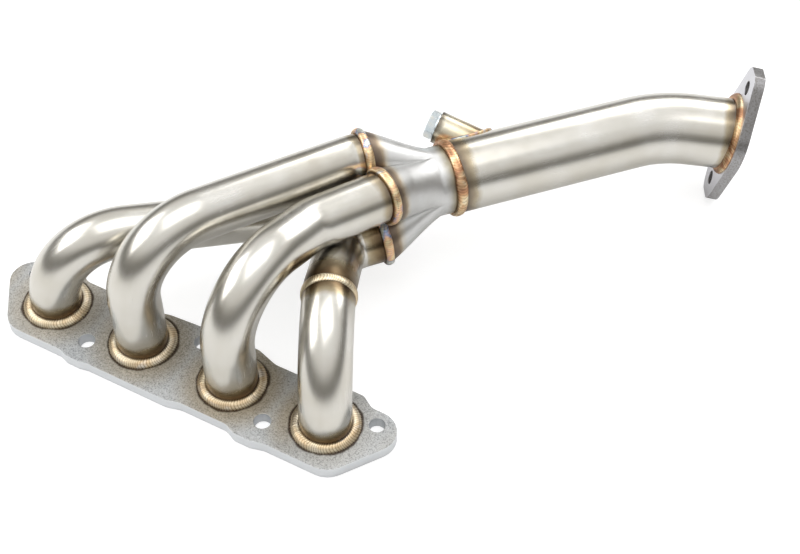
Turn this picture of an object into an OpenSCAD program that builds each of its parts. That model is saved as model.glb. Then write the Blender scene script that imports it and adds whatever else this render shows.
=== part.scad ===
// Four-into-one tubular exhaust manifold.
// Origin: centre of the port pattern, on the mating face of the head flange.
// X runs along the ports, Y points away from the ports, Z points up the ports.

/* [Head flange] */
// Distance from one port to the next.
port_pitch = 88; // [80:1:106]
// Thickness of the head flange.
flange_t = 11; // [8:0.5:16]
// Width of the head flange ahead of the port centres.
flange_front = 40; // [36:0.5:50]
// Width of the head flange behind the port centres.
flange_back = 31.2; // [30.5:0.1:38]
// How far the end bolt holes stand outside the outer ports.
end_bolt_x = 36.5; // [35:0.5:45]
// How far behind the port centres the end bolt holes are.
end_bolt_y = 18.2; // [14:0.2:20]
// How far ahead of the port centres the two front bolt holes are.
front_bolt_y = 21.7; // [18:0.1:28]
// How far behind the port centres the middle bolt hole is.
back_bolt_y = 22.9; // [18:0.1:26]
// Diameter of the two end bolt holes.
end_bolt_d = 13; // [8:0.5:15]
// Diameter of the three inner bolt holes.
mid_bolt_d = 14; // [8:0.5:15]
// Thickness of the land under each runner, at the mating face.
port_land = 4; // [2:0.5:6]

/* [Runners] */
// Outside diameter of the runners.
runner_od = 43; // [34:0.5:45]
// Wall of the runners.
runner_wall = 1.5; // [1:0.1:3]
// Radius of the first bend of runners 1 to 3.
runner_bend = 58; // [48:1:64]
// Radius of the second bend of runners 1 to 3.
runner_bend_2 = 45; // [38:1:50]
// Height of the first bend corner of runner 1.
rise_1 = 90.6; // [86:0.1:110]
// Height of the first bend corner of runner 2.
rise_2 = 134.6; // [112:0.1:162]
// Height of the first bend corner of runner 3.
rise_3 = 126; // [106:0.1:150]
// Height of the first bend corner of runner 4.
rise_4 = 88.4; // [84:0.1:106]
// Straight run of runner 1 before the collector.
run_1 = 85; // [20:1:95]
// Straight run of runner 2 before the collector.
run_2 = 12; // [9:1:60]
// Straight run of runner 3 before the collector.
run_3 = 68; // [16:1:75]
// Straight run of runner 4 before the collector.
run_4 = 35.8; // [28:0.1:44]
// Heading of the lower half of runner 4 where it leaves its bend.
exit_heading_4 = 116.2; // [108:0.1:124]
// Climb of the lower half of runner 4 where it leaves its bend.
exit_climb_4 = -4; // [-8:0.1:4]
// Bend radius of the lower half of runner 4.
bend_4 = 65.4; // [54:0.1:68]
// First bend radius of the upper half of runner 4.
bend_4_top = 24.8; // [22:0.1:30]
// Second bend radius of the upper half of runner 4.
bend_4_end = 25.2; // [22:0.1:31]

/* [Collector] */
// Where the collector joins the down pipe, along X.
neck_x = 121.4; // [112:0.1:132]
// Where the collector joins the down pipe, along Y.
neck_y = 236.4; // [224:0.1:262]
// Where the collector joins the down pipe, along Z.
neck_z = 74.2; // [66:0.1:82]
// Heading of the collector, turned from the line of the ports.
axis_heading = 48.3; // [44:0.1:53]
// How far the collector dips below level.
axis_dip = 0.9; // [0:0.1:3]
// Length of the collector from its inlets to the down pipe.
collector_len = 71.5; // [59:0.5:86]
// Length of the round neck at the end of the collector.
neck_len = 16.5; // [10:0.5:20]
// Distance from one collector inlet to the next.
inlet_spacing = 49; // [48.6:0.1:56]
// Wall of the collector.
collector_wall = 2; // [1.5:0.1:3]

/* [Down pipe] */
// Outside diameter of the down pipe.
pipe_od = 63.5; // [53:0.5:76]
// Wall of the down pipe.
pipe_wall = 1.6; // [1:0.1:3]
// Centreline radius of the down pipe's bend.
pipe_bend = 127; // [95:1:152]
// Distance from the neck to the corner of the bend.
pipe_run = 202.9; // [169:0.1:244]
// Distance from the corner of the bend to the outlet flange.
outlet_run = 62.8; // [55:0.1:76]
// Heading of the down pipe after its bend.
outlet_heading = 23.9; // [18:0.1:30]
// How far the down pipe dips after its bend.
outlet_dip = 4.53; // [2:0.01:9]

/* [Outlet flange] */
// Thickness of the outlet flange.
outlet_t = 10; // [8:0.5:13]
// Heading of the outlet flange.
outlet_face_heading = 21; // [18:0.5:28]
// How far the outlet flange looks down.
outlet_face_dip = 10; // [8:0.5:12]
// Turn of the outlet bolt line from upright.
bolt_line_turn = 12.6; // [8:0.1:16]
// Distance between the two outlet bolt holes.
outlet_bolt_gap = 96; // [92:0.5:110]
// Diameter of the outlet bolt holes.
outlet_bolt_d = 12.5; // [8:0.5:14]
// Radius of the middle of the outlet flange.
outlet_mid_r = 39.5; // [38.5:0.5:42]
// Radius of the ends of the outlet flange.
outlet_end_r = 19; // [17:0.5:21]
// How far the cut-off ends reach beyond the bolt holes.
outlet_end_cut = 17; // [14:0.5:17]
// Radius of the outlet's bore.
outlet_bore_r = 29; // [25:0.5:30]

/* [Sensor boss] */
// Distance from the neck to where the boss axis meets the pipe axis.
boss_run = 60.5; // [58:0.5:90]
// Lean of the boss away from the pipe's axis.
boss_lean = 41.7; // [38:0.1:60]
// Turn of the boss above level.
boss_turn = 21.6; // [10:0.1:60]
// Distance from the pipe axis to the open end of the boss.
boss_reach = 74; // [70:0.5:88]
// Outside diameter of the boss.
boss_od = 29; // [26:0.5:34]
// Wall of the boss tube.
boss_wall = 2; // [1.5:0.1:3]
// Nominal thread diameter of the plug.
thread_d = 18; // [14:0.5:20]
// Depth of thread in the bung.
bung_len = 14; // [12:0.5:16]
// Length of the plug's thread below the bung's face.
plug_reach = 10.5; // [6:0.5:12]
// Size of the plug's hexagon across its flats.
hex_af = 22; // [19:0.5:26]
// Height of the plug's hexagon.
hex_h = 7; // [5:0.5:10]
// Thickness of the plug's washer.
washer_t = 1.6; // [1:0.1:2.5]

/* [Welds] */
// How far the port welds spread over the flange.
port_weld_leg = 7.8; // [5:0.1:9]
// How far the port welds climb the runners.
port_weld_h = 4.6; // [3:0.1:6]
// Width of the welds at the collector inlets.
inlet_weld_w = 5.5; // [4:0.1:7]
// Width of the butt weld in runner 4.
joint_weld_w = 5.6; // [4:0.1:5.8]
// Leg of the weld at the outlet flange.
outlet_weld_leg = 5.5; // [4:0.1:7]
// Leg of the weld round the sensor boss.
boss_weld_leg = 3; // [2:0.1:4]

/* [Clearances] */
// Clearance of a runner in its counterbore, on the radius.
runner_fit = 0.1; // [0.05:0.01:0.3]
// Clearance of the collector's neck in the down pipe, on the radius.
neck_fit = 0.15; // [0.1:0.01:0.4]
// Gap between a weld and the tube that it goes round.
weld_gap = 0.04; // [0.02:0.01:0.1]
// Clearance of the plug in its thread, on the radius.
thread_fit = 0.05; // [0.02:0.01:0.09]
// Gap under the washer and under the plug's head.
seat_gap = 0.03; // [0.01:0.01:0.1]

/* [Hidden] */
$fn = 72;
steel = [0.78, 0.76, 0.71];
plate = [0.66, 0.68, 0.70];
bead = [0.80, 0.66, 0.42];
zinc = [0.62, 0.70, 0.74];

runner_r = runner_od / 2;
runner_ir = runner_r - runner_wall;
pipe_r = pipe_od / 2;
pipe_ir = pipe_r - pipe_wall;
neck_r = pipe_ir - neck_fit;
neck_lap = 6;
boss_r = boss_od / 2;
boss_ir = boss_r - boss_wall;
thread_r = thread_d / 2;
outer_x = 1.5 * port_pitch;

function unit(v) = v / norm(v);
function heading(az, el) = [cos(el) * cos(az), cos(el) * sin(az), sin(el)];

neck = [neck_x, neck_y, neck_z];
axis = heading(axis_heading, -axis_dip);
side = unit(cross(axis, [0, 0, 1]));
rise = cross(side, axis);
inlet = neck - axis * collector_len;

// Inlets look from the collector's axis: 1 lower far, 2 upper far, 3 upper near, 4 lower near.
lobe_side = [-1, -1, 1, 1];
lobe_rise = [-1, 1, 1, -1];
converge = [5, 0, 13, -2.8];
descend = [0, 0, 4, 5.5];
function port(i) = [(i - 1.5) * port_pitch, 0, 0];
function lobe(i) = inlet + inlet_spacing / 2 * (side * lobe_side[i] + rise * lobe_rise[i]);
function entry(i) = unit(axis - side * lobe_side[i] * tan(converge[i])
    - rise * lobe_rise[i] * tan(descend[i]));

// Runner centrelines: base, corners, and the point where each meets its inlet.
function route(i, h, run) = [
    port(i) + [0, 0, port_land], port(i) + [0, 0, h],
    lobe(i) - entry(i) * run, lobe(i)];
route_1 = route(0, rise_1, run_1);
route_2 = route(1, rise_2, run_2);
route_3 = route(2, rise_3, run_3);
exit_4 = heading(exit_heading_4, exit_climb_4);
corner_4 = port(3) + [0, 0, rise_4];
exit_tan_4 = bend_4 * tan((90 - exit_climb_4) / 2) + 1;
joint_4 = corner_4 + exit_4 * exit_tan_4;
route_4_lower = [port(3) + [0, 0, port_land], corner_4, joint_4];
route_4_upper = [joint_4, joint_4 + exit_4 * (bend_4_top * 0.374),
    lobe(3) - entry(3) * run_4, lobe(3)];

// Down pipe and outlet flange.
bend_corner = neck + axis * pipe_run;
outlet_dir = heading(outlet_heading, -outlet_dip);
outlet = bend_corner + outlet_dir * outlet_run;
face_n = heading(outlet_face_heading, -outlet_face_dip);
face_up = unit([0, 0, 1] - face_n * face_n.z);
face_h = cross(face_n, face_up);
bolt_dir = face_up * cos(bolt_line_turn) - face_h * sin(bolt_line_turn);
bolt_side = cross(face_n, bolt_dir);

// Sensor boss.
boss_foot = neck + axis * boss_run;
boss_dir = -axis * cos(boss_lean)
    + (rise * sin(boss_turn) - side * cos(boss_turn)) * sin(boss_lean);
boss_x = unit(cross(axis, boss_dir));
boss_y = cross(boss_dir, boss_x);

// Places children with their own X, Y and Z along three given directions.
module frame_at(o, x, y, z) {
    multmatrix([
        [x.x, y.x, z.x, o.x],
        [x.y, y.y, z.y, o.y],
        [x.z, y.z, z.z, o.z],
        [0, 0, 0, 1]])
        children();
}

// Places children at a point with Z along a direction.
module along(o, z) {
    w = unit(z);
    ref = abs(w.z) < 0.9 ? [0, 0, 1] : [1, 0, 0];
    x = unit(cross(ref, w));
    frame_at(o, x, cross(w, x), w) children();
}

// Tube along a filleted centreline: a ring of points at each station, carried along without twist.
function turn_at(p, i) = acos(min(1, max(-1, unit(p[i] - p[i - 1]) * unit(p[i + 1] - p[i]))));
function bend_stations(p, b, i) =
    let(
        u = unit(p[i] - p[i - 1]), v = unit(p[i + 1] - p[i]),
        m = unit(v - u * (u * v)),
        th = turn_at(p, i),
        c = p[i] - u * b * tan(th / 2) + m * b,
        n = ceil(th / 8))
    [for (k = [0 : n]) let(a = th * k / n)
        [c - m * b * cos(a) + u * b * sin(a), u * cos(a) + m * sin(a)]];
function stations(p, b) = let(n = len(p) - 1) [
    [p[0], unit(p[1] - p[0])],
    for (i = [1 : n - 1]) each bend_stations(p, b[i - 1], i),
    [p[n], unit(p[n] - p[n - 1])]];
function carry(s, x, i = 0) =
    i == len(s) ? [] : let(y = unit(x - s[i][1] * (x * s[i][1]))) concat([y], carry(s, y, i + 1));
function onto(q, dir, at, n) = q + dir * ((at - q) * n / (dir * n));
function rings(s, x, r, at, n) = [
    for (i = [0 : len(s) - 1])
        let(y = cross(s[i][1], x[i]), last = i == len(s) - 1)
        [for (a = [0 : 10 : 350])
            let(q = s[i][0] + r * (x[i] * cos(a) + y * sin(a)))
            last ? onto(q, s[i][1], at, n) : q]];

// The last ring lies in the plane through at, square to n.
module tube(p, b, r, wall, at, n) {
    s = stations(p, b);
    w = s[0][1];
    ref = abs(w.z) < 0.9 ? [0, 0, 1] : [1, 0, 0];
    x = carry(s, ref);
    shell(rings(s, x, r, at, n), rings(s, x, r - wall, at, n));
}

module runner(i, p, b) {
    color(steel)
        tube(p, b, runner_r, runner_wall, lobe(i), entry(i));
}

// Rounded outline from corners given as [x, y, radius].
function arc_corner(p, a, b, r) =
    let(
        u = unit(a - p), v = unit(b - p),
        half = acos(u * v) / 2,
        c = p + unit(u + v) * r / sin(half),
        s = p + u * r / tan(half) - c,
        e = p + v * r / tan(half) - c,
        a0 = atan2(s.y, s.x),
        da = ((atan2(e.y, e.x) - a0 + 540) % 360) - 180,
        n = max(2, ceil(abs(da) / 14)))
    [for (k = [0 : n]) c + r * [cos(a0 + da * k / n), sin(a0 + da * k / n)]];
function xy(v) = [v[0], v[1]];
function outline(c) = let(n = len(c)) [
    for (i = [0 : n - 1])
        each arc_corner(xy(c[i]), xy(c[(i + n - 1) % n]), xy(c[(i + 1) % n]), c[i][2])];

// Front edge bumps out a little at each front bolt hole.
bump = 3;
half_flange = outer_x + 23.5;
end_slant = 50.3;
tip_x = half_flange + end_slant * (flange_front + flange_back) / 71.2;
front_edge = [
    [-half_flange, -flange_front, 22],
    [-port_pitch - 12, -flange_front, 10], [-port_pitch - 4, -flange_front - bump, 6],
    [-port_pitch + 8, -flange_front - bump, 6], [-port_pitch + 16, -flange_front - 1.5, 10],
    [6, -flange_front - 1.5, 20], [18, -flange_front + 1.8, 20],
    [port_pitch - 26, -flange_front + 1.8, 10], [port_pitch - 16, -flange_front - bump, 6],
    [port_pitch - 2, -flange_front - bump, 6], [port_pitch + 10, -flange_front, 10],
    [half_flange, -flange_front, 22]];
back_edge = [
    [tip_x, flange_back, 19.5],
    [outer_x + 25, flange_back, 10], [outer_x + 13.5, flange_back + 7.4, 6],
    [outer_x + 2, flange_back + 7.4, 8], [outer_x - 8, flange_back + 0.8, 10],
    [port_pitch / 2 + 22, flange_back + 0.6, 16], [port_pitch / 2 + 2, flange_back + 7.2, 10],
    [-2, flange_back + 5.8, 40], [-port_pitch / 2 + 4, flange_back + 3.6, 20],
    [-port_pitch / 2 - 8, flange_back + 0.6, 14],
    [-outer_x + 8, flange_back + 0.6, 10], [-outer_x - 2, flange_back + 7.4, 8],
    [-outer_x - 13.5, flange_back + 7.4, 6], [-outer_x - 25, flange_back, 10],
    [-tip_x, flange_back, 19.5]];

module head_flange() {
    color(plate)
        difference() {
            linear_extrude(height = flange_t)
                polygon(outline(concat(front_edge, back_edge)));
            for (i = [0 : 3]) {
                translate(port(i) + [0, 0, -1])
                    cylinder(r = runner_ir, h = flange_t + 2);
                translate(port(i) + [0, 0, port_land])
                    cylinder(r = runner_r + runner_fit, h = flange_t);
            }
            for (s = [-1, 1]) {
                translate([s * (outer_x + end_bolt_x), end_bolt_y, -1])
                    cylinder(d = end_bolt_d, h = flange_t + 2);
                translate([s * (port_pitch - 2), -front_bolt_y, -1])
                    cylinder(d = mid_bolt_d, h = flange_t + 2);
            }
            translate([0, back_bolt_y, -1])
                cylinder(d = mid_bolt_d, h = flange_t + 2);
        }
}

module runner_1() {
    runner(0, route_1, [runner_bend, runner_bend_2]);
}

module runner_2() {
    runner(1, route_2, [runner_bend, runner_bend_2]);
}

module runner_3() {
    runner(2, route_3, [runner_bend, runner_bend_2]);
}

module runner_4_lower() {
    color(steel)
        tube(route_4_lower, [bend_4], runner_r, runner_wall, joint_4, exit_4);
}

module runner_4_upper() {
    runner(3, route_4_upper, [bend_4_top, bend_4_end]);
}

// Weld between a runner and the head flange.
module port_weld(i) {
    r0 = runner_r + weld_gap;
    leg = port_weld_leg;
    h = port_weld_h;
    color(bead)
        translate(port(i) + [0, 0, flange_t])
            rotate_extrude()
                polygon([[r0, 0], [r0 + leg, 0], [r0 + leg * 0.9, h * 0.3],
                    [r0 + leg * 0.6, h * 0.68], [r0 + leg * 0.28, h * 0.92], [r0, h]]);
}

// Weld between a runner and its collector inlet.
module inlet_weld(i) {
    w = inlet_weld_w;
    in_r = runner_r + weld_gap;
    out_r = inlet_spacing / 2 - 0.15;
    color(bead)
        along(lobe(i), entry(i))
            rotate_extrude()
                polygon([[in_r, 0], [out_r, 0], [out_r - 0.1, -w * 0.35],
                    [out_r - 0.8, -w * 0.75], [runner_r + 0.6, -w], [in_r, -w]]);
}

module runner_4_weld() {
    r0 = runner_r + weld_gap;
    w = joint_weld_w / 2;
    color(bead)
        along(joint_4, exit_4)
            rotate_extrude()
                polygon([[r0, -0.8], [r0 + 0.7, -w * 0.1], [r0 + 1.2, w * 0.6],
                    [r0 + 0.7, w * 1.2], [r0, w * 1.6]]);
}

// Radius of a four-lobed section, and how steeply its wall leans there.
lobe_r = inlet_spacing / 2 - 0.1;
lobe_d = inlet_spacing / sqrt(2);
function from_lobe(a) = (a % 90) - 45;
function lobed(a) = let(s = lobe_d * sin(from_lobe(a)))
    lobe_d * cos(from_lobe(a)) + sqrt(max(0, lobe_r * lobe_r - s * s));
function slant(a) =
    max(0.5, sqrt(max(0, 1 - pow(lobe_d * sin(from_lobe(a)) / lobe_r, 2))));
function ease(t) = 0.75 * t + 0.25 * t * t * (3 - 2 * t);

// How far the mouth of each inlet stands ahead of or behind the collector's end plane, so that
// the mouth is square to its runner.
function quarter(a) = a < 90 ? 2 : a < 180 ? 1 : a < 270 ? 0 : 3;
function mouth(a) =
    let(
        i = quarter(a),
        r = lobed(a),
        dx = (r * cos(a) - lobe_side[i] * inlet_spacing / 2) * lobe_side[i],
        dy = (r * sin(a) - lobe_rise[i] * inlet_spacing / 2) * lobe_rise[i],
        z = dx * tan(converge[i]) + dy * tan(descend[i]))
    z > 0 ? z : z * (1 - pow(abs(from_lobe(a)) / 45, 4));

collector_steps = 12;
cone_len = collector_len - neck_len;
function mix(t) = ease(min(1, t));
function section(t, wall) = [
    for (a = [0 : 5 : 355])
        let(
            m = mix(t),
            r = (1 - m) * lobed(a) + m * neck_r
                - wall * ((1 - m) / slant(a) + m))
        [r * cos(a), r * sin(a), t * cone_len + mouth(a) * max(0, 1 - 2 * t)]];

// A shell through rings of equal length, closed at both ends between outer and inner.
module shell(outer, inner) {
    n = len(outer[0]);
    m = len(outer);
    pts = [for (s = outer) each s, for (s = inner) each s];
    o = m * n;
    faces = [
        for (j = [0 : m - 2], i = [0 : n - 1]) let(k = (i + 1) % n)
            each [
                [j * n + i, (j + 1) * n + i, j * n + k],
                [j * n + k, (j + 1) * n + i, (j + 1) * n + k],
                [o + j * n + i, o + j * n + k, o + (j + 1) * n + i],
                [o + j * n + k, o + (j + 1) * n + k, o + (j + 1) * n + i]],
        for (i = [0 : n - 1]) let(k = (i + 1) % n, e = (m - 1) * n)
            each [
                [i, k, o + i], [k, o + k, o + i],
                [e + i, o + e + i, e + k], [e + k, o + e + i, o + e + k]]];
    polyhedron(points = pts, faces = faces, convexity = 8);
}

neck_end = (collector_len + neck_lap) / cone_len;
module collector() {
    ts = [for (j = [0 : collector_steps]) j / collector_steps, neck_end];
    color(steel)
        frame_at(inlet, side, rise, axis)
            shell([for (t = ts) section(t, 0)], [for (t = ts) section(t, collector_wall)]);
}

// Web that closes the middle between the four inlets, with its point downstream.
module collector_spike() {
    reach = inlet_spacing / 2 - 4.4;
    waist = lobe_d - lobe_r - 1;
    color(steel)
        frame_at(inlet, side, rise, axis) {
            translate([0, 0, 1.4])
                linear_extrude(height = 1.6)
                    polygon([for (k = [0 : 7])
                        (k % 2 == 0 ? reach : waist) * [cos(45 * k), sin(45 * k)]]);
            translate([0, 0, 3])
                rotate([0, 0, 45])
                    linear_extrude(height = 30, scale = 0.15)
                        square(waist * sqrt(2) - 1, center = true);
        }
}

module neck_weld() {
    r0 = neck_r + weld_gap;
    r1 = pipe_r + weld_gap;
    color(bead)
        difference() {
            along(neck, axis)
                rotate_extrude()
                    polygon([[r0, -4.4], [r0 + 1.2, -4.2], [r1 + 1, -2.4], [r1 + 2, 0],
                        [r1 + 1.7, 2.2], [r1 + 0.8, 3.9], [r1, 4.3], [r1, -0.02], [r0, -0.02]]);
            boss_frame()
                cylinder(r = boss_r + boss_weld_leg + weld_gap, h = boss_reach);
        }
}

module boss_frame() {
    frame_at(boss_foot, boss_x, boss_y, boss_dir) children();
}

pipe_route = [neck, bend_corner, outlet];
module down_pipe() {
    color(steel)
        difference() {
            tube(pipe_route, [pipe_bend], pipe_r, pipe_wall, outlet, face_n);
            boss_frame()
                cylinder(r = boss_ir, h = boss_reach);
        }
}

module outlet_weld() {
    leg = outlet_weld_leg;
    r0 = pipe_r;
    color(bead)
        difference() {
            frame_at(outlet, bolt_dir, bolt_side, face_n)
                rotate_extrude()
                    polygon([[r0 - 1, 0], [r0 + leg, 0], [r0 + leg * 0.9, -leg * 0.3],
                        [r0 + leg * 0.55, -leg * 0.75], [r0 + 0.5, -leg], [r0 - 1, -leg]]);
            along(outlet - outlet_dir * 20, outlet_dir)
                cylinder(r = pipe_r + weld_gap, h = 40);
        }
}

// Outline of the outlet flange: a round middle drawn out to two cut-off ends.
module outlet_outline() {
    half = outlet_bolt_gap / 2;
    s = (outlet_mid_r - outlet_end_r) / half;
    c = sqrt(1 - s * s);
    intersection() {
        union() {
            circle(r = outlet_mid_r);
            for (k = [-1, 1])
                translate([k * half, 0])
                    circle(r = outlet_end_r);
            polygon([
                for (k = [[1, 1], [-1, 1], [-1, -1], [1, -1]])
                    each (k.x == k.y ? [0, 1] : [1, 0]) == [0, 1]
                        ? [[k.x * (half + outlet_end_r * s), k.y * outlet_end_r * c],
                            [k.x * outlet_mid_r * s, k.y * outlet_mid_r * c]]
                        : [[k.x * outlet_mid_r * s, k.y * outlet_mid_r * c],
                            [k.x * (half + outlet_end_r * s), k.y * outlet_end_r * c]]]);
        }
        square([2 * (half + outlet_end_cut), 2 * outlet_mid_r + 2], center = true);
    }
}

module outlet_flange() {
    half = outlet_bolt_gap / 2;
    color(plate)
        frame_at(outlet, bolt_dir, bolt_side, face_n)
            difference() {
                linear_extrude(height = outlet_t)
                    outlet_outline();
                translate([0, 0, -1])
                    cylinder(r = outlet_bore_r, h = outlet_t + 2);
                for (k = [-1, 1])
                    translate([k * half, 0, -1])
                        cylinder(d = outlet_bolt_d, h = outlet_t + 2);
            }
}

// The straight part of the down pipe as a solid, a little larger by grow.
module pipe_core(grow) {
    along(neck, axis)
        cylinder(r = pipe_r + grow, h = pipe_run - 30);
}

module sensor_boss() {
    color(steel)
        difference() {
            boss_frame()
                cylinder(r = boss_r, h = boss_reach);
            boss_frame()
                translate([0, 0, -1])
                    cylinder(r = boss_ir, h = boss_reach + 2);
            pipe_core(weld_gap);
        }
}

module boss_weld() {
    color(bead)
        difference() {
            intersection() {
                boss_frame()
                    cylinder(r = boss_r + boss_weld_leg, h = boss_reach);
                pipe_core(boss_weld_leg);
            }
            boss_frame()
                translate([0, 0, -1])
                    cylinder(r = boss_r + weld_gap, h = boss_reach + 2);
            pipe_core(weld_gap);
        }
}

module sensor_bung() {
    color(plate)
        boss_frame()
            translate([0, 0, boss_reach - bung_len])
                difference() {
                    cylinder(r = boss_ir - weld_gap, h = bung_len);
                    translate([0, 0, -1])
                        cylinder(r = thread_r, h = bung_len + 2);
                }
}

module plug_washer() {
    color(zinc)
        boss_frame()
            translate([0, 0, boss_reach + seat_gap])
                difference() {
                    cylinder(r = hex_af / 2 + 1.5, h = washer_t);
                    translate([0, 0, -1])
                        cylinder(r = thread_r + 0.35, h = washer_t + 2);
                }
}

module sensor_plug() {
    under = boss_reach + washer_t + 2 * seat_gap;
    color(zinc)
        boss_frame() {
            translate([0, 0, boss_reach - plug_reach])
                cylinder(r = thread_r - thread_fit, h = under - boss_reach + plug_reach + 1);
            translate([0, 0, under])
                cylinder(d = hex_af / cos(30), h = hex_h, $fn = 6);
        }
}

head_flange();
runner_1();
runner_2();
runner_3();
runner_4_lower();
runner_4_upper();
port_weld(0);  // port_weld_1
port_weld(1);  // port_weld_2
port_weld(2);  // port_weld_3
port_weld(3);  // port_weld_4
runner_4_weld();
inlet_weld(0);  // inlet_weld_1
inlet_weld(1);  // inlet_weld_2
inlet_weld(2);  // inlet_weld_3
inlet_weld(3);  // inlet_weld_4
collector();
collector_spike();
neck_weld();
down_pipe();
outlet_weld();
outlet_flange();
sensor_boss();
boss_weld();
sensor_bung();
plug_washer();
sensor_plug();
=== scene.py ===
# %% [markdown]
# # Four-into-one exhaust manifold
# The part is already built as a frame of exact solids. Here every visible piece gets the shape
# and finish of the real thing: bent tubes, rippled weld beads, a pressed collector and cut plates.
# Everything stays in the frame's own metres, so each new piece sits where its solid sits.

# %% Open the frame
import bpy
import math
import numpy as np
from mathutils import Matrix, Vector


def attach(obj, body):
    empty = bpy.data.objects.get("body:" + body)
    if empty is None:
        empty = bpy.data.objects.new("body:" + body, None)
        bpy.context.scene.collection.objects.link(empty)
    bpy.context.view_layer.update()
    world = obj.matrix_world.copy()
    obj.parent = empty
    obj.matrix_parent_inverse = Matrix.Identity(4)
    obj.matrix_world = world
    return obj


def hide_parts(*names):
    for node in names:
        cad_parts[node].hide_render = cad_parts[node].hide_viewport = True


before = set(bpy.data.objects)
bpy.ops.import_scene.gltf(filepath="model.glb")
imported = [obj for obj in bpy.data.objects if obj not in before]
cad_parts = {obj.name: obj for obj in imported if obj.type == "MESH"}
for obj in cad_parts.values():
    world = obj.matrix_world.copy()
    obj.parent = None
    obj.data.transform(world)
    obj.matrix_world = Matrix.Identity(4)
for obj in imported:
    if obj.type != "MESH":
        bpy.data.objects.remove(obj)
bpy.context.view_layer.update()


# %% [markdown]
# The design is a handful of sizes: where the ports are, where the collector meets the down pipe,
# and which way each run of tube points. All routes follow from them, as on the drawing.

# %% Sizes of the manifold
mm = 0.001
pitch = 88 * mm
plate_top = 11 * mm
land = 4 * mm
tube_r, tube_wall = 21.5 * mm, 1.5 * mm
pipe_r, pipe_wall = 31.75 * mm, 1.6 * mm
neck = Vector((121.4, 236.4, 74.2)) * mm
collector_len, neck_len = 71.5 * mm, 16.5 * mm
spacing = 49 * mm


def heading(turn, climb):
    """Unit vector turned from the line of the ports and climbing above level, in degrees."""
    t, c = math.radians(turn), math.radians(climb)
    return Vector((math.cos(c) * math.cos(t), math.cos(c) * math.sin(t), math.sin(c)))


axis = heading(48.3, -0.9)
side = axis.cross(Vector((0, 0, 1))).normalized()
rise = side.cross(axis)
inlet = neck - axis * collector_len
lobe_sides = [(-1, -1), (-1, 1), (1, 1), (1, -1)]
converge = [5, 0, 13, -2.8]
descend = [0, 0, 4, 5.5]
ports = [Vector(((i - 1.5) * pitch, 0, 0)) for i in range(4)]
lobes = [inlet + (side * s + rise * r) * spacing / 2 for s, r in lobe_sides]
entries = [
    (axis - side * s * math.tan(math.radians(c)) - rise * r * math.tan(math.radians(d))).normalized()
    for (s, r), c, d in zip(lobe_sides, converge, descend)]
print("collector inlets", [tuple(round(v / mm, 1) for v in lobe) for lobe in lobes])

# %% Routes of the tubes
corner_heights = [90.6 * mm, 134.6 * mm, 126 * mm]
last_runs = [85 * mm, 12 * mm, 68 * mm]
routes = {}
for i in range(3):
    routes["runner_%d" % (i + 1)] = (
        [ports[i] + Vector((0, 0, land)), ports[i] + Vector((0, 0, corner_heights[i])),
         lobes[i] - entries[i] * last_runs[i], lobes[i]],
        [58 * mm, 45 * mm])
leave = heading(116.2, -4)
low_corner = ports[3] + Vector((0, 0, 88.4 * mm))
joint = low_corner + leave * (65.4 * mm * math.tan(math.radians((90 + 4) / 2)) + 1 * mm)
routes["runner_4_lower"] = (
    [ports[3] + Vector((0, 0, land)), low_corner, joint], [65.4 * mm])
routes["runner_4_upper"] = (
    [joint, joint + leave * 9.28 * mm, lobes[3] - entries[3] * 35.8 * mm, lobes[3]],
    [24.8 * mm, 25.2 * mm])
pipe_corner = neck + axis * 202.9 * mm
outlet_dir = heading(23.9, -4.53)
outlet = pipe_corner + outlet_dir * 62.8 * mm
routes["down_pipe"] = ([neck, pipe_corner, outlet], [127 * mm])
face = heading(21, -10)
print("outlet at", tuple(round(v / mm, 1) for v in outlet))

# %% [markdown]
# A bent tube is made the way a bender makes it: a ring is pushed straight, swung round the centre
# of the bend, pushed straight again, and the wall is given at the end. Extrude pushes and Spin
# swings, so bends are true arcs. Spin turns the other way from the right-hand rule here.

# %% Push and swing a ring
def open_ring(place, direction, radius, around):
    bpy.ops.object.select_all(action="DESELECT")
    bpy.ops.mesh.primitive_circle_add(
        vertices=around, radius=radius, location=place,
        rotation=direction.to_track_quat("Z", "Y").to_euler())
    bpy.ops.object.transform_apply(location=True, rotation=True, scale=True)
    return bpy.context.object


def push(move):
    bpy.ops.mesh.extrude_region_move(TRANSFORM_OT_translate={"value": move})


def bend_of(before, corner, after, radius):
    """Start, centre, axis, angle and end of the arc that rounds a corner."""
    u, v = (corner - before).normalized(), (after - corner).normalized()
    angle = u.angle(v)
    back = radius * math.tan(angle / 2)
    start = corner - u * back
    centre = start + (v - u * u.dot(v)).normalized() * radius
    return start, centre, u.cross(v).normalized(), angle, corner + v * back


def apply_modifier(piece, kind, name, **settings):
    made = piece.modifiers.new(name, kind)
    for key, value in settings.items():
        setattr(made, key, value)
    bpy.context.view_layer.objects.active = piece
    bpy.ops.object.modifier_apply(modifier=name)


def bent_tube(name, points, bends, radius, wall, around=96):
    tube = open_ring(points[0], points[1] - points[0], radius, around)
    tube.name = name
    bpy.ops.object.mode_set(mode="EDIT")
    here = points[0]
    for k, radius_k in enumerate(bends, start=1):
        start, centre, turn, angle, end = bend_of(points[k - 1], points[k], points[k + 1], radius_k)
        push(start - here)
        bpy.ops.mesh.spin(steps=math.ceil(math.degrees(angle) / 3), angle=-angle,
                          center=centre, axis=turn)
        here = end
    push(points[-1] - here)
    bpy.ops.mesh.select_all(action="SELECT")
    bpy.ops.mesh.remove_doubles(threshold=1e-6)
    bpy.ops.mesh.normals_make_consistent(inside=False)
    bpy.ops.object.mode_set(mode="OBJECT")
    apply_modifier(tube, "SOLIDIFY", "wall", thickness=wall, offset=-1)
    bpy.ops.object.shade_smooth_by_angle(angle=math.radians(40))
    return tube


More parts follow.
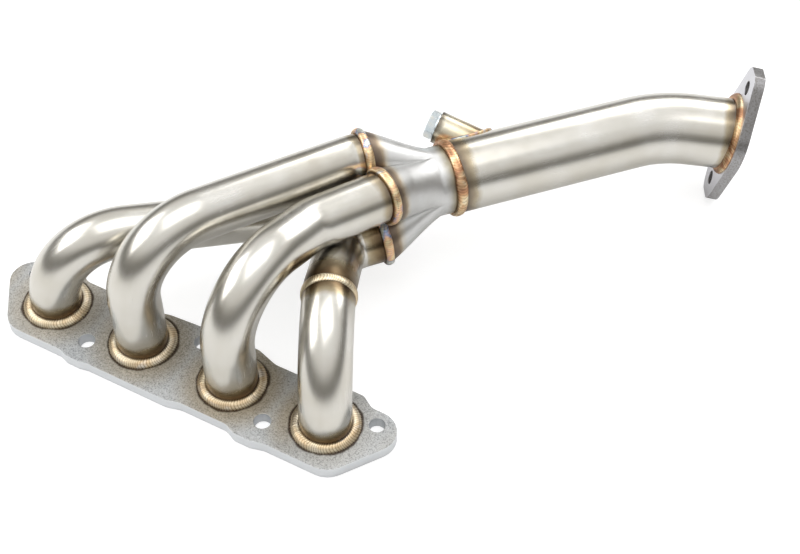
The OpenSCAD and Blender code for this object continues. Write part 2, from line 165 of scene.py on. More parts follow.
# %% [markdown]
# A finish that follows a tube needs to know how far along it each point lies. The route is
# stepped through in small strides, and each vertex takes the nearest stride: its place across
# the tube and its distance along it. The finish then behaves as if the tube were straight.

# %% Distance along a route
def strides(points, bends, stride=0.5 * mm):
    """Centre and direction of the route at equal strides."""
    path = []

    def line(a, b):
        n = max(1, round((b - a).length / stride))
        path.extend((a.lerp(b, k / n), (b - a).normalized()) for k in range(n))

    here = points[0]
    for k, radius in enumerate(bends, start=1):
        start, centre, turn, angle, end = bend_of(points[k - 1], points[k], points[k + 1], radius)
        if (start - here).length > stride:
            line(here, start)
        n = max(1, round(radius * angle / stride))
        arm, along = start - centre, (points[k] - points[k - 1]).normalized()
        for j in range(n):
            swing = Matrix.Rotation(angle * j / n, 3, turn)
            path.append((centre + swing @ arm, swing @ along))
        here = end
    line(here, points[-1])
    path.append((points[-1], path[-1][1]))
    return path


def write_vectors(piece, name, values):
    layer = piece.data.attributes.new(name, "FLOAT_VECTOR", "POINT")
    layer.data.foreach_set("vector", np.asarray(values, dtype=np.float32).ravel())


def vertices_of(piece):
    found = np.empty(len(piece.data.vertices) * 3)
    piece.data.vertices.foreach_get("co", found)
    return found.reshape(-1, 3)


def straighten(piece, points, bends):
    """Writes 'run' (across, across, distance along) and 'ends' (from start, from end)."""
    path = strides(points, bends)
    centres = np.array([p for p, _ in path])
    ways = np.array([w for _, w in path])
    steps = np.linalg.norm(np.diff(centres, axis=0), axis=1)
    far = np.concatenate([[0], np.cumsum(steps)])
    across = Vector((1, 0, 0)) if abs(path[0][1].x) < 0.9 else Vector((0, 1, 0))
    firsts = []
    for _, w in path:
        across = (across - w * across.dot(w)).normalized()
        firsts.append(across.copy())
    firsts = np.array(firsts)
    seconds = np.cross(ways, firsts)
    points_at = vertices_of(piece)
    near = np.array([np.argmin(((centres - p) ** 2).sum(1)) for p in points_at])
    gap = points_at - centres[near]
    along = far[near] + (gap * ways[near]).sum(1)
    write_vectors(piece, "run", np.stack(
        [(gap * firsts[near]).sum(1), (gap * seconds[near]).sum(1), along], axis=1))
    write_vectors(piece, "ends", np.stack([along, far[-1] - along, along * 0], axis=1))
    return far[-1]


# %% Bend the tubes
tubes = {}
for name, (points, bends) in routes.items():
    radius, wall = (pipe_r, pipe_wall) if name == "down_pipe" else (tube_r, tube_wall)
    tubes[name] = bent_tube(name + "_tube", points, bends, radius, wall)
    length = straighten(tubes[name], points, bends)
    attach(tubes[name], "manifold")
    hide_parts(name)
    "pipe_steel" if name == "down_pipe" else "runner_steel"
    print(name, "%.0f mm long," % (length / mm), len(tubes[name].data.polygons), "faces")

# %% [markdown]
# A hand-laid weld is a row of small overlapping puddles. Each bead starts as a torus. Its section
# is flattened and tilted to fill the corner, and its surface is lifted in even waves whose fronts
# curve, because the middle of each puddle sets last. Real ripples catch the light that a painted
# pattern misses, so they are modelled.

# %% Lay a rippled bead
def ring_torus(name, place, direction, radius, ripples, minor=14):
    bpy.ops.object.select_all(action="DESELECT")
    bpy.ops.mesh.primitive_torus_add(
        location=place, rotation=direction.to_track_quat("Z", "Y").to_euler(),
        major_radius=radius, minor_radius=1 * mm, major_segments=ripples * 5, minor_segments=minor)
    made = bpy.context.object
    made.name = name
    return made


def bead(name, place, direction, radius, half_width, half_height, tilt=0.0, ripple=2 * mm,
         lift=0.35 * mm, stop=40, swell=0.12, minor=14):
    """A ring of weld. Width lies along the ring's axis, height away from it; tilt turns both."""
    ripples = round(2 * math.pi * radius / ripple)
    ring = ring_torus(name, place, direction, radius, ripples, minor)
    around_at, section_at = [], []
    for v in ring.data.vertices:
        turn = math.atan2(v.co.y, v.co.x)
        section = math.atan2(v.co.z, math.hypot(v.co.x, v.co.y) - radius)
        q = math.sin(section)
        beat = turn / (2 * math.pi) * ripples + 0.9 * q * q + 0.35 * math.sin(turn * 7)
        wave = (1 - beat % 1) ** 1.6 - 0.45
        gap = ((turn - math.radians(stop) + math.pi) % (2 * math.pi)) - math.pi
        grow = 1 + swell * math.exp(-(gap / 0.16) ** 2) + 0.05 * math.sin(turn * 3 + stop)
        out = half_height * grow * math.cos(section) + lift * wave * math.cos(section)
        along = (half_width * grow + lift * 0.6 * wave) * q
        c, s = math.cos(math.radians(tilt)), math.sin(math.radians(tilt))
        r = radius + out * c + along * s
        v.co = (r * math.cos(turn), r * math.sin(turn), along * c - out * s)
        around_at.append((beat, q, turn / (2 * math.pi)))
        section_at.append(section)
    write_vectors(ring, "puddle", around_at)
    bpy.ops.object.transform_apply(location=True, rotation=True, scale=True)
    bpy.ops.object.shade_smooth()
    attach(ring, "manifold")
    return ring


# %% Beads round the ports
beads = {}
for i, stop in enumerate([-20, -35, -30, 10]):
    beads["port_weld_%d" % (i + 1)] = bead(
        "port_bead_%d" % (i + 1), ports[i] + Vector((0, 0, plate_top + 1.1 * mm)),
        Vector((0, 0, 1)), tube_r + 3.1 * mm, 2.6 * mm, 4.6 * mm, tilt=28, stop=stop,
        lift=0.6 * mm)
print(len(beads["port_weld_1"].data.polygons), "faces in a port bead")

# %% Beads on the collector and in runner 4
for i, (width, shift) in enumerate([(4.0, 1.0), (4.0, 1.0), (4.0, 1.5), (4.0, 1.5)]):
    beads["inlet_weld_%d" % (i + 1)] = bead(
        "inlet_bead_%d" % (i + 1), lobes[i] + entries[i] * shift * mm, entries[i],
        tube_r + 1.1 * mm, width * mm, 2.7 * mm, stop=110 + 60 * i, lift=0.3 * mm)
beads["runner_4_weld"] = bead(
    "runner_4_bead", joint + leave * 1.8 * mm, leave, tube_r - 0.4 * mm, 4.2 * mm, 2.0 * mm, stop=200)
beads["neck_weld"] = bead(
    "neck_bead", neck, axis, pipe_r - 0.6 * mm, 4.8 * mm, 2.8 * mm, tilt=-6,
    ripple=3 * mm, lift=0.5 * mm, stop=150)
beads["outlet_weld"] = bead(
    "outlet_bead", outlet - face * 1.2 * mm, face, pipe_r + 1.6 * mm, 2.6 * mm, 4.0 * mm,
    tilt=-35, ripple=2.4 * mm, lift=0.5 * mm, stop=30)
for node, piece in beads.items():
    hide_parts(node)

# %% [markdown]
# Round the sensor boss the weld follows the saddle where two tubes meet. A flat bead is laid
# round the boss first, and each point is then slid along the boss until it lies on the down pipe.

# %% Saddle bead of the boss
boss_r, boss_reach = 14.5 * mm, 74 * mm
boss_foot = neck + axis * 60.5 * mm
lean, turn_up = math.radians(41.7), math.radians(21.6)
boss_dir = (-axis * math.cos(lean)
            + (rise * math.sin(turn_up) - side * math.cos(turn_up)) * math.sin(lean)).normalized()


def reach_of_pipe(point):
    """How far along the boss from point its line leaves the down pipe."""
    gap = point - neck
    flat = gap - axis * gap.dot(axis)
    way = boss_dir - axis * boss_dir.dot(axis)
    a, b, c = way.dot(way), 2 * flat.dot(way), flat.dot(flat) - pipe_r ** 2
    return (-b + math.sqrt(max(0, b * b - 4 * a * c))) / (2 * a)


saddle = bead("boss_bead", boss_foot, boss_dir, boss_r + 1.2 * mm, 2.0 * mm, 2.6 * mm,
              tilt=25, ripple=2 * mm, stop=0, minor=12)
for v in saddle.data.vertices:
    gap = v.co - boss_foot
    flat = gap - boss_dir * gap.dot(boss_dir)
    v.co += boss_dir * reach_of_pipe(boss_foot + flat.normalized() * (boss_r + 1 * mm))
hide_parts("boss_weld")
beads["boss_weld"] = saddle

# %% [markdown]
# The collector is pressed from sheet: four round mouths flow into one round neck, with valleys
# between them. A flat grid is wrapped round the axis, and each of its rings takes a section
# between the four-lobed mouth and the circle of the neck.

# %% Wrap the collector
lobe_r = spacing / 2 - 0.1 * mm
lobe_d = spacing / math.sqrt(2)
neck_r = pipe_r - pipe_wall - 0.15 * mm
cone_len = collector_len - neck_len
around, rings = 192, 60


def lobed(turn):
    off = lobe_d * math.sin((turn % (math.pi / 2)) - math.pi / 4)
    return (lobe_d * math.cos((turn % (math.pi / 2)) - math.pi / 4)
            + math.sqrt(max(0, lobe_r ** 2 - off ** 2)))


def mouth(turn):
    """How far the mouth stands ahead of the end plane, so that it is square to its runner."""
    i = [2, 1, 0, 3][int(turn / (math.pi / 2)) % 4]
    s, r = lobe_sides[i]
    dx = (lobed(turn) * math.cos(turn) - s * spacing / 2) * s
    dy = (lobed(turn) * math.sin(turn) - r * spacing / 2) * r
    z = dx * math.tan(math.radians(converge[i])) + dy * math.tan(math.radians(descend[i]))
    edge = abs((turn % (math.pi / 2)) - math.pi / 4) / (math.pi / 4)
    return z if z > 0 else z * (1 - edge ** 4)


bpy.ops.object.select_all(action="DESELECT")
bpy.ops.mesh.primitive_grid_add(x_subdivisions=around, y_subdivisions=rings, size=1)
collector = bpy.context.object
collector.name = "collector_shell"
shape_at = []
for v in collector.data.vertices:
    turn, t = (v.co.x + 0.5) * 2 * math.pi, v.co.y + 0.5
    reach = t * (collector_len + 6 * mm) / cone_len
    blend = min(1, reach)
    blend = 0.75 * blend + 0.25 * blend * blend * (3 - 2 * blend)
    r = (1 - blend) * lobed(turn) + blend * neck_r
    z = reach * cone_len + mouth(turn) * max(0, 1 - 2 * reach)
    v.co = inlet + (side * math.cos(turn) + rise * math.sin(turn)) * r + axis * z
    shape_at.append((r * math.cos(turn), r * math.sin(turn), reach * cone_len))
write_vectors(collector, "run", shape_at)
bpy.ops.object.mode_set(mode="EDIT")
bpy.ops.mesh.select_all(action="SELECT")
bpy.ops.mesh.remove_doubles(threshold=1e-5)
bpy.ops.mesh.normals_make_consistent(inside=False)
bpy.ops.object.mode_set(mode="OBJECT")
apply_modifier(collector, "SOLIDIFY", "sheet", thickness=2 * mm, offset=-1)
bpy.ops.object.shade_smooth_by_angle(angle=math.radians(40))
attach(collector, "manifold")
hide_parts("collector")
print("collector", len(collector.data.polygons), "faces")

# %% [markdown]
# The flanges are cut from plate, so their outlines are already right in the frame. A copy of each
# solid is joined up again, since the frame keeps loose triangles, and its rims are broken with a
# small bevel: no cut edge is ever truly sharp, and that thin line of light is what shows it.

# %% Break the rims of the plates
def joined_copy(node, name):
    """A copy of a frame solid with its own mesh, its loose triangles joined."""
    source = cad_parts[node]
    copy = source.copy()
    copy.data = source.data.copy()
    copy.name = name
    for key in [k for k in copy.keys() if k.startswith("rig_")]:
        del copy[key]
    bpy.context.scene.collection.objects.link(copy)
    place = source.matrix_world.copy()
    copy.parent = None
    copy.matrix_world = Matrix.Identity(4)
    copy.data.transform(place)
    bpy.ops.object.select_all(action="DESELECT")
    copy.select_set(True)
    bpy.context.view_layer.objects.active = copy
    bpy.ops.object.mode_set(mode="EDIT")
    bpy.ops.mesh.select_all(action="SELECT")
    bpy.ops.mesh.remove_doubles(threshold=2e-6)
    bpy.ops.mesh.dissolve_limited(angle_limit=math.radians(0.5))
    bpy.ops.mesh.select_all(action="DESELECT")
    bpy.ops.object.mode_set(mode="OBJECT")
    return copy


def break_rims(piece, width, segments=2, turn=60):
    """Bevels each edge where two faces meet at more than turn degrees."""
    bpy.ops.object.mode_set(mode="EDIT")
    bpy.ops.mesh.select_mode(type="EDGE")
    bpy.ops.mesh.select_all(action="DESELECT")
    bpy.ops.mesh.edges_select_sharp(sharpness=math.radians(turn))
    bpy.ops.mesh.bevel(offset=width, segments=segments, affect="EDGES")
    bpy.ops.mesh.select_mode(type="VERT")
    bpy.ops.object.mode_set(mode="OBJECT")
    bpy.ops.object.shade_smooth_by_angle(angle=math.radians(30))
    apply_modifier(piece, "WEIGHTED_NORMAL", "flat faces", keep_sharp=True, weight=100)
    print(piece.name, len(piece.data.polygons), "faces")


plates = {}
for node, name, width in [("head_flange", "head_plate", 0.7 * mm),
                          ("outlet_flange", "outlet_plate", 0.6 * mm),
                          ("sensor_boss", "boss_tube", 0.3 * mm),
                          ("plug_washer", "washer_ring", 0.3 * mm)]:
    plates[node] = joined_copy(node, name)
    break_rims(plates[node], width)
    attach(plates[node], "washer" if node == "plug_washer" else "manifold")
    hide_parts(node)

# %% [markdown]
# The screw plug has a hexagon whose corners are turned off at an angle, which leaves a curved
# line on each flat. A six-sided prism is cut into fine strips, and every point near its top comes
# down the further out it lies, just as the lathe tool leaves it.

# %% Turn the plug's head
washer_t, gap_t, hex_af, hex_h = 1.6 * mm, 0.03 * mm, 22 * mm, 7 * mm
under = boss_reach + washer_t + 2 * gap_t
boss_x = axis.cross(boss_dir).normalized()
boss_frame = Matrix((boss_x, boss_dir.cross(boss_x), boss_dir)).transposed().to_4x4()
boss_frame.translation = boss_foot
top = under + hex_h


def hex_out(turn):
    """Distance from the centre to the hexagon's side, at an angle."""
    return hex_af / 2 / math.cos((turn % (math.pi / 3)) - math.pi / 6)


bpy.ops.object.select_all(action="DESELECT")
bpy.ops.mesh.primitive_cylinder_add(
    vertices=96, radius=hex_af / 2, depth=hex_h, end_fill_type="NOTHING",
    location=(0, 0, under + hex_h / 2))
plug = bpy.context.object
plug.name = "plug_screw"
bpy.ops.object.transform_apply(location=True, rotation=True, scale=True)
for v in plug.data.vertices:
    turn, high = math.atan2(v.co.y, v.co.x), v.co.z > under + hex_h / 2
    out = hex_out(turn)
    drop = (out - hex_af / 2 + 0.5 * mm) * 0.55 if high else 0
    v.co = (out * math.cos(turn), out * math.sin(turn), (top if high else under) - drop)
    v.select = high
for e in plug.data.edges:
    e.select = all(plug.data.vertices[k].select for k in e.vertices)
for f in plug.data.polygons:
    f.select = False
bpy.ops.object.mode_set(mode="EDIT")
bpy.ops.mesh.extrude_region_move()
bpy.ops.object.mode_set(mode="OBJECT")
for v in plug.data.vertices:
    if v.select:
        turn = math.atan2(v.co.y, v.co.x)
        v.co = (hex_af * 0.475 * math.cos(turn), hex_af * 0.475 * math.sin(turn), top)
bpy.ops.object.mode_set(mode="EDIT")
bpy.ops.mesh.edge_face_add()
bpy.ops.mesh.inset(thickness=3.2 * mm)
bpy.ops.mesh.inset(thickness=0.4 * mm, depth=-0.4 * mm)
bpy.ops.mesh.select_all(action="SELECT")
bpy.ops.mesh.normals_make_consistent(inside=False)
bpy.ops.object.mode_set(mode="OBJECT")
plug.data.transform(boss_frame)
bpy.ops.object.shade_smooth_by_angle(angle=math.radians(22))
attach(plug, "plug")
print("plug", len(plug.data.polygons), "faces")

# %% [markdown]
# Finishes are sums of patterns, and sums read best as sums. One small class wraps a socket of a
# node, so that adding or scaling two of them lays the Math node that does it.

# %% Write shader maths as Python
class Tone:
    """An output socket of a material's node tree, with sums written as they read."""

    def __init__(self, tree, socket=None):
        self.tree, self.socket = tree, socket

    def node(self, kind, settings=None, inputs=None, out=0):
        made = self.tree.nodes.new(kind)
        for key, value in (settings or {}).items():
            if key == "stops":
                stops = made.color_ramp.elements
                stops.remove(stops[-1])
                for k, (place, colour) in enumerate(value):
                    stop = stops[0] if k == 0 else stops.new(place)
                    stop.position, stop.color = place, (*colour, 1)
            else:
                setattr(made, key, value)
        for key, value in (inputs or {}).items():
            if isinstance(value, Tone):
                self.tree.links.new(value.socket, made.inputs[key])
            else:
                made.inputs[key].default_value = value
        return Tone(self.tree, made.outputs[out])

    def maths(self, operation, a, b=0.0):
        return self.node("ShaderNodeMath", {"operation": operation}, {0: a, 1: b})

    def __add__(self, other): return self.maths("ADD", self, other)
    def __radd__(self, other): return self.maths("ADD", other, self)
    def __sub__(self, other): return self.maths("SUBTRACT", self, other)
    def __rsub__(self, other): return self.maths("SUBTRACT", other, self)
    def __mul__(self, other): return self.maths("MULTIPLY", self, other)
    def __rmul__(self, other): return self.maths("MULTIPLY", other, self)
    def __truediv__(self, other): return self.maths("DIVIDE", self, other)
    def __pow__(self, other): return self.maths("POWER", self, other)

    def part(self, letter):
        return self.node("ShaderNodeSeparateXYZ", None, {0: self}, "XYZ".index(letter))

    def fade(self, start, end, low=0.0, high=1.0):
        """Goes smoothly from low, at start, to high, at end."""
        return self.node("ShaderNodeMapRange", {"interpolation_type": "SMOOTHSTEP"},
                         {"Value": self, "From Min": start, "From Max": end,
                          "To Min": low, "To Max": high})

    def ramp(self, *stops):
        return self.node("ShaderNodeValToRGB", {"stops": stops}, {0: self})

    def over(self, colour, amount):
        """This colour with another laid over it."""
        return self.node("ShaderNodeMix", {"data_type": "RGBA"}, {0: amount, 6: self, 7: colour}, 2)

    def times(self, colour, amount=1.0):
        return self.node("ShaderNodeMix", {"data_type": "RGBA", "blend_type": "MULTIPLY"},
                         {0: amount, 6: self, 7: colour}, 2)

    def stretch(self, scale):
        return self.node("ShaderNodeMapping", None, {"Vector": self, "Scale": scale})

    def noise(self, scale, detail=3.0, rough=0.55, warp=0.0):
        return self.node("ShaderNodeTexNoise", None,
                         {"Vector": self, "Scale": scale, "Detail": detail,
                          "Roughness": rough, "Distortion": warp})

    def attribute(self, name):
        return self.node("ShaderNodeAttribute", {"attribute_name": name}, None, 1)

    def place(self):
        return self.node("ShaderNodeTexCoord", None, None, 3)

    def colour(self, value):
        return self.node("ShaderNodeRGB") if value is None else value


def finish_named(name, **fixed):
    """A new material, with the shader's constant values set on its own sockets."""
    made = bpy.data.materials.new(name)
    made.use_nodes = True
    shader = made.node_tree.nodes["Principled BSDF"]
    for key, value in fixed.items():
        shader.inputs[key.replace("_", " ")].default_value = value
    return made, Tone(made.node_tree), shader


def feed(tone, shader, **links):
    for key, value in links.items():
        socket = shader.inputs[key.replace("_", " ")]
        if isinstance(value, Tone):
            tone.tree.links.new(value.socket, socket)
        else:
            socket.default_value = value


def bumped(tone, height, depth, strength=1.0):
    return tone.node("ShaderNodeBump", None,
                     {"Strength": strength, "Distance": depth, "Height": height})


def dress(piece, *materials):
    piece.data.materials.clear()
    for m in materials:
        piece.data.materials.append(m)


# %% [markdown]
# The tubes are satin stainless, brushed along their length. Heat from the welds leaves an oxide
# film whose colour runs from straw through brown to near black next to the bead, and it ends in
# an uneven edge. Distance from each end, written on the mesh, says where the film is.

# %% Satin tube with heat tint
def tube_finish(name, start_dark, start_reach, end_dark, end_reach, clear=0.0, warm=0.0):
    made, tone, shader = finish_named(name, Metallic=1.0)
    run, ends = tone.attribute("run"), tone.attribute("ends")
    hair = run.stretch((1, 1, 0.035)).noise(900, 3, 0.6)
    streak = run.stretch((1, 1, 0.08)).noise(120, 4, 0.6)
    cloud = run.noise(28, 3, 0.5)
    smudge = run.noise(9, 2, 0.5)
    steel = cloud.ramp((0.3, (0.60, 0.575, 0.515)), (0.5, (0.65, 0.63, 0.58)),
                       (0.72, (0.70, 0.685, 0.65)))
    steel = steel.over((0.54, 0.51, 0.44, 1), streak.fade(0.52, 0.80, 0, 0.30))
    steel = steel.times((0.86 + warm * 0.05, 0.83, 0.77, 1), smudge.fade(0.45, 0.7, 0, 0.7))
    wander = run.noise(60, 3, 0.5) - 0.5
    first = (ends.part("X") - clear) / start_reach + wander * 0.7
    last = ends.part("Y") / end_reach + wander * 0.7
    film = ((0.0, (0.10, 0.065, 0.04)), (0.22, (0.20, 0.14, 0.085)), (0.45, (0.36, 0.28, 0.18)),
            (0.68, (0.60, 0.52, 0.38)), (1.0, (1.0, 1.0, 1.0)))
    steel = steel.times(first.ramp(*film), start_dark)
    steel = steel.times(last.ramp(*film), end_dark)
    rough = 0.25 + (hair - 0.5) * 0.10 + (cloud - 0.5) * 0.10 + first.fade(0.0, 0.9, 0.14, 0)
    height = hair * 0.7 + streak * 0.3
    feed(tone, shader, Base_Color=steel, Roughness=rough, Normal=bumped(tone, height, 0.00002, 0.35))
    return made


base_clear = plate_top + 4 * mm - land
runner_steel = tube_finish("satin runner steel", 1.0, 13 * mm, 0.85, 13 * mm, clear=base_clear)
lower_steel = tube_finish("satin lower steel", 1.0, 11 * mm, 1.0, 13 * mm, clear=base_clear)
upper_steel = tube_finish("burnt upper steel", 1.0, 30 * mm, 1.0, 22 * mm)
pipe_steel = tube_finish("satin pipe steel", 0.85, 15 * mm, 0.85, 12 * mm, clear=3 * mm)
for name in ("runner_1", "runner_2", "runner_3"):
    dress(tubes[name], runner_steel)
dress(tubes["runner_4_lower"], lower_steel)
dress(tubes["runner_4_upper"], upper_steel)
dress(tubes["down_pipe"], pipe_steel)

# %% [markdown]
# Beads of stainless come out of the arc between silver, straw and copper, with blue where they
# stayed hot longest. Painted shade darkens the trough behind each puddle's crest, and the toes of the
# bead are darker.

# %% Tinted weld metal
def bead_finish(name, colours, burn=0.55, trough_shade=0.85):
    made, tone, shader = finish_named(name, Metallic=1.0)
    puddle, place = tone.attribute("puddle"), tone.place()
    patch = place.noise(55, 2, 0.5, 0.6)
    fine = place.noise(900, 2, 0.6)
    tint = patch.ramp(*colours)
    toe = puddle.part("Y")
    toe = (toe * toe).fade(0.62, 1.0, 0, burn)
    tint = tint.times((0.32, 0.25, 0.18, 1), toe)
    # Painted shade: the back of each ripple, down into its trough, is darkened and the crest is left
    # bright.
    crest = tone.node("ShaderNodeMath", {"operation": "FRACT"}, {0: puddle.part("X")})
    tint = tint.times((0.42, 0.34, 0.26, 1), crest.fade(0.50, 0.98, 0, trough_shade))
    feed(tone, shader, Base_Color=tint, Roughness=0.30 + fine * 0.16,
         Normal=bumped(tone, fine, 0.00003, 0.4))
    return made


straw = bead_finish("straw weld metal", (
    (0.30, (0.88, 0.82, 0.70)), (0.48, (0.84, 0.75, 0.56)), (0.60, (0.76, 0.62, 0.42)),
    (0.72, (0.86, 0.81, 0.72))))
copper = bead_finish("copper weld metal", (
    (0.30, (0.88, 0.80, 0.60)), (0.42, (0.80, 0.60, 0.36)), (0.50, (0.60, 0.33, 0.18)),
    (0.58, (0.46, 0.24, 0.14)), (0.66, (0.72, 0.48, 0.28)), (0.76, (0.88, 0.80, 0.60))),
    trough_shade=0.6)
rainbow = bead_finish("blue and gold weld metal", (
    (0.24, (0.70, 0.72, 0.70)), (0.36, (0.66, 0.68, 0.62)), (0.40, (0.24, 0.32, 0.50)),
    (0.44, (0.60, 0.42, 0.38)), (0.49, (0.84, 0.55, 0.32)), (0.56, (0.88, 0.76, 0.50)),
    (0.62, (0.74, 0.50, 0.28)), (0.68, (0.60, 0.58, 0.54)), (0.80, (0.78, 0.78, 0.76))),
    burn=0.75, trough_shade=0.45)
for node, piece in beads.items():
    dress(piece, straw if node.startswith("port") or node == "runner_4_weld" else
          rainbow if node.startswith("inlet") or node == "boss_weld" else copper)

# %% [markdown]
# The head plate is matt grey, finely speckled from blasting, and browned round the runners. The
# ports repeat at one pitch, so wrapping X over that pitch gives the distance to the nearest port.

# %% Blasted plate with browned ports
head_plate, tone, shader = finish_named("blasted plate", Metallic=1.0)
place = tone.place()
speck = place.noise(850, 3, 0.75)
grain = place.noise(420, 3, 0.6)
cloud = place.noise(16, 3, 0.5)
wrapped = tone.node("ShaderNodeMath", {"operation": "WRAP"},
                    {0: place.part("X"), 1: pitch, 2: 0.0}) - pitch / 2
ring_at = (wrapped * wrapped + place.part("Y") * place.part("Y")) ** 0.5
wander = place.noise(70, 3, 0.5) - 0.5
out_at = (ring_at - (tube_r + 7.4 * mm)) / mm + wander * 5
grey = cloud.ramp((0.3, (0.42, 0.435, 0.445)), (0.7, (0.50, 0.51, 0.515)))
grey = grey.times((0.50, 0.50, 0.49, 1), speck.fade(0.47, 0.66, 0, 0.9))
grey = grey.over((0.66, 0.67, 0.68, 1), speck.fade(0.46, 0.34, 0, 0.5))
tanned = place.part("X").fade(-0.15, 0.12, 0.55, 0.85)
tanned = tanned * place.part("X").fade(0.095, 0.13, 1.0, 0.25)
facing = tone.node("ShaderNodeNewGeometry", None, None, 1).part("Z")
# Painted highlight: faces that stand on edge, the plate's cut sides and port bores, are painted pale
# grey-blue.
side_highlight = facing.fade(0.75, 0.35, 0, 1)
grey = grey.times((0.78, 0.65, 0.46, 1), out_at.fade(2, 26, 1, 0) * tanned)
grey = grey.over((0.70, 0.715, 0.73, 1), side_highlight * facing.fade(-0.6, -0.2))
grey = grey.times((0.13, 0.09, 0.065, 1), out_at.fade(0.6, 2.4, 1, 0) * 0.92)
feed(tone, shader, Base_Color=grey, Roughness=0.52 + (grain - 0.5) * 0.2,
     Normal=bumped(tone, grain * 0.6 + speck * 0.4, 0.00012, 0.6))
dress(plates["head_flange"], head_plate)

# %% Smooth plate with cut edges
outlet_plate, tone, shader = finish_named("smooth plate", Metallic=1.0)
place = tone.place()
through = (place.node("ShaderNodeVectorMath", {"operation": "DOT_PRODUCT"},
                      {0: place, 1: tuple(face)}, 1) - outlet.dot(face)) / (10 * mm)
brush = place.stretch((1, 1, 1)).noise(300, 3, 0.6)
lines = place.noise(700, 2, 0.6)
pale = place.noise(20, 3, 0.5).ramp((0.3, (0.60, 0.60, 0.63)), (0.7, (0.70, 0.70, 0.74)))
inside = (through - 0.5) * (through - 0.5)
edge = inside.fade(0.20, 0.24, 1, 0)
pale = pale.times((0.55, 0.54, 0.52, 1), edge * 0.9)
pale = pale.times((0.70, 0.68, 0.64, 1), edge * lines.fade(0.4, 0.65))
feed(tone, shader, Base_Color=pale, Roughness=0.36 + (brush - 0.5) * 0.15,
     Normal=bumped(tone, lines, 0.00008, 0.5))
dress(plates["outlet_flange"], outlet_plate)

# %% [markdown]
# Pressed sheet keeps a duller skin than drawn tube. A bronze band follows each mouth a few
# millimetres from its bead, where the sheet was hot but not melted.

# %% Pressed collector sheet
pressed, tone, shader = finish_named("pressed sheet", Metallic=1.0)
run, place = tone.attribute("run"), tone.place()
skin = place.noise(40, 4, 0.6)
fine = place.noise(800, 2, 0.6)
sheet = skin.ramp((0.3, (0.56, 0.56, 0.55)), (0.7, (0.66, 0.66, 0.655)))
down = run.part("Z") / mm + (place.noise(90, 3, 0.5) - 0.5) * 6
sheet = sheet.times(down.fade(4, 20).ramp(
    (0.0, (0.20, 0.14, 0.10)), (0.30, (0.34, 0.25, 0.17)), (0.50, (0.62, 0.50, 0.36)),
    (0.72, (0.92, 0.86, 0.76)), (1.0, (1.0, 1.0, 1.0))), 0.95)
sheet = sheet.times((0.52, 0.46, 0.34, 1), down.fade(57, 66))
feed(tone, shader, Base_Color=sheet, Roughness=0.40 + (skin - 0.5) * 0.16,
     Normal=bumped(tone, fine * 0.5 + skin * 0.5, 0.00006, 0.5))
dress(collector, pressed)

# %% Tinted boss, zinc plug and hidden steel
boss_steel, tone, shader = finish_named("tinted boss steel", Metallic=1.0)
place = tone.place()
up = (place.node("ShaderNodeVectorMath", {"operation": "DOT_PRODUCT"},
                 {0: place, 1: tuple(boss_dir)}, 1) - boss_foot.dot(boss_dir)) / boss_reach
patch = place.noise(45, 3, 0.5)
brush = place.noise(600, 3, 0.6)
# Darker brown from the weld at the foot and lighter up the boss, then near black over the last few
# millimetres at the top end, next to the washer.
brass = (up + (patch - 0.5) * 0.35).ramp(
    (0.35, (0.26, 0.18, 0.11)), (0.58, (0.46, 0.37, 0.24)), (0.76, (0.64, 0.57, 0.42)),
    (0.92, (0.56, 0.52, 0.42)), (0.98, (0.16, 0.14, 0.11)))
feed(tone, shader, Base_Color=brass, Roughness=0.30 + (brush - 0.5) * 0.15,
     Normal=bumped(tone, brush, 0.00004, 0.5))
dress(plates["sensor_boss"], boss_steel)

zinc, tone, shader = finish_named("blue zinc", Metallic=1.0)
place = tone.place()
cloud = place.noise(120, 3, 0.5)
tint = cloud.ramp((0.3, (0.60, 0.68, 0.72)), (0.5, (0.72, 0.77, 0.79)), (0.7, (0.80, 0.80, 0.74)))
feed(tone, shader, Base_Color=tint, Roughness=0.30 + (place.noise(900, 2, 0.5) - 0.5) * 0.2,
     Normal=bumped(tone, place.noise(700, 2, 0.5), 0.00003, 0.4))
dress(plates["plug_washer"], zinc)
dress(plug, zinc)
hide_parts("sensor_plug")

turned, tone, shader = finish_named("turned steel", Metallic=1.0)
place = tone.place()
feed(tone, shader, Base_Color=place.noise(300, 3, 0.5).ramp(
    (0.3, (0.40, 0.38, 0.34)), (0.7, (0.56, 0.54, 0.50))), Roughness=0.42)
for node in ("sensor_bung", "collector_spike"):
    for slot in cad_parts[node].material_slots:
        slot.material = turned

# %% [markdown]
# The manifold stands in a bright tent on a white floor. Metal only shows what surrounds it, so
# the tent is not even: a broad light overhead, paler sides and a dark band just above the horizon
# give the tubes their long bright and dark bands. Only the camera sees the tent as plain white.

# %% White floor
bpy.ops.object.select_all(action="DESELECT")
bpy.ops.mesh.primitive_grid_add(x_subdivisions=4, y_subdivisions=4, size=8,
                                location=(0, 0, -0.2 * mm))
floor = bpy.context.object
floor.name = "white_floor"
white, tone, shader = finish_named("white floor", Roughness=0.9)
shader.inputs["Base Color"].default_value = (0.80, 0.80, 0.80, 1)
seen = tone.node("ShaderNodeLightPath", None, None, 0)
glow = tone.node("ShaderNodeEmission", None, {"Color": (1, 1, 1, 1), "Strength": 0.74})
soft = tone.node("ShaderNodeBsdfDiffuse", None, {"Color": (0.38, 0.38, 0.38, 1)})
both = tone.node("ShaderNodeAddShader", None, {0: glow, 1: soft})
plain = tone.node("ShaderNodeBsdfDiffuse", None, {"Color": (0.82, 0.82, 0.82, 1)})
shown = tone.node("ShaderNodeMixShader", None, {0: seen, 1: plain, 2: both})
white.node_tree.links.new(shown.socket, white.node_tree.nodes["Material Output"].inputs[0])
dress(floor, white)

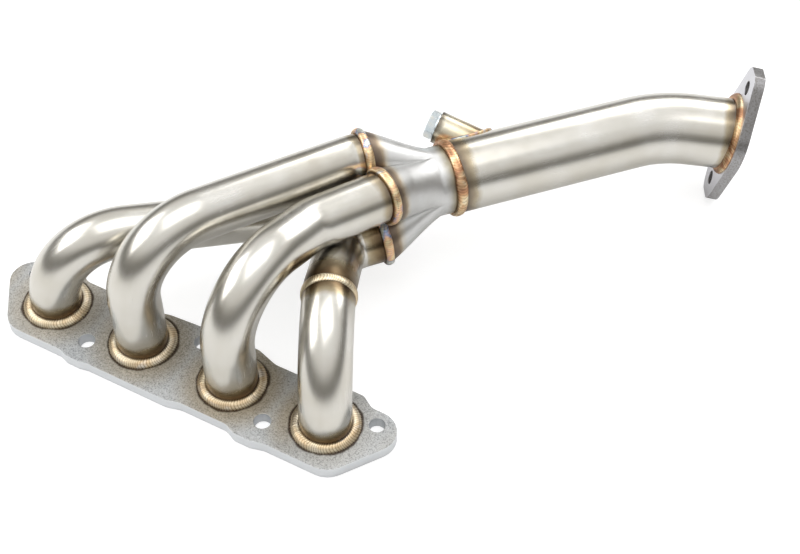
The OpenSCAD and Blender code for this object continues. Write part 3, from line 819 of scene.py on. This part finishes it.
# %% Tent of light
world = bpy.data.worlds.new("tent")
bpy.context.scene.world = world
world.use_nodes = True
sky = Tone(world.node_tree)
way = sky.node("ShaderNodeTexCoord", None, None, 0)
up = way.part("Z")
seen = sky.node("ShaderNodeLightPath", None, None, 0)
tent = up.ramp((0.0, (0.50, 0.50, 0.50)), (0.12, (0.16, 0.155, 0.14)), (0.34, (0.30, 0.29, 0.27)),
               (0.55, (0.85, 0.84, 0.82)), (0.85, (1.0, 1.0, 1.0)))
light = tent.over((1, 1, 1, 1), seen)
world.node_tree.links.new(light.socket, world.node_tree.nodes["Background"].inputs[0])
world.node_tree.nodes["Background"].inputs[1].default_value = 1.0

# %% Softboxes
def softbox(name, place, aim, width, height, power):
    lamp = bpy.data.lights.new(name, "AREA")
    lamp.shape, lamp.size, lamp.size_y, lamp.energy = "RECTANGLE", width, height, power
    box = bpy.data.objects.new(name, lamp)
    bpy.context.scene.collection.objects.link(box)
    box.location = place
    box.rotation_euler = (Vector(place) - Vector(aim)).to_track_quat("Z", "Y").to_euler()


middle = (0.07, 0.2, 0.06)
softbox("left softbox", (-1.3, -0.4, 1.3), middle, 1.6, 0.9, 14)
softbox("back softbox", (0.3, 1.7, 1.2), middle, 1.8, 0.7, 12)
softbox("top softbox", (0.2, 0.1, 1.9), middle, 1.4, 1.4, 10)

# %% Camera
scene = bpy.context.scene
scene.view_settings.view_transform = "Standard"
lens = bpy.data.cameras.new("camera")
lens.lens, lens.sensor_width = 62.81, 36
lens.clip_start, lens.clip_end = 0.05, 20
camera = bpy.data.objects.new("camera", lens)
scene.collection.objects.link(camera)
scene.camera = camera
ahead = Vector((-0.2998, 0.5787, -0.7584)).normalized()
right = ahead.cross(Vector((0, 0, 1))).normalized()
above = right.cross(ahead)
roll = math.radians(0.75)
right, above = (right * math.cos(roll) + above * math.sin(roll),
                above * math.cos(roll) - right * math.sin(roll))
view = Matrix((right, above, -ahead)).transposed().to_4x4()
view.translation = Vector((475.9, -538.6, 932.5)) * mm
camera.matrix_world = view
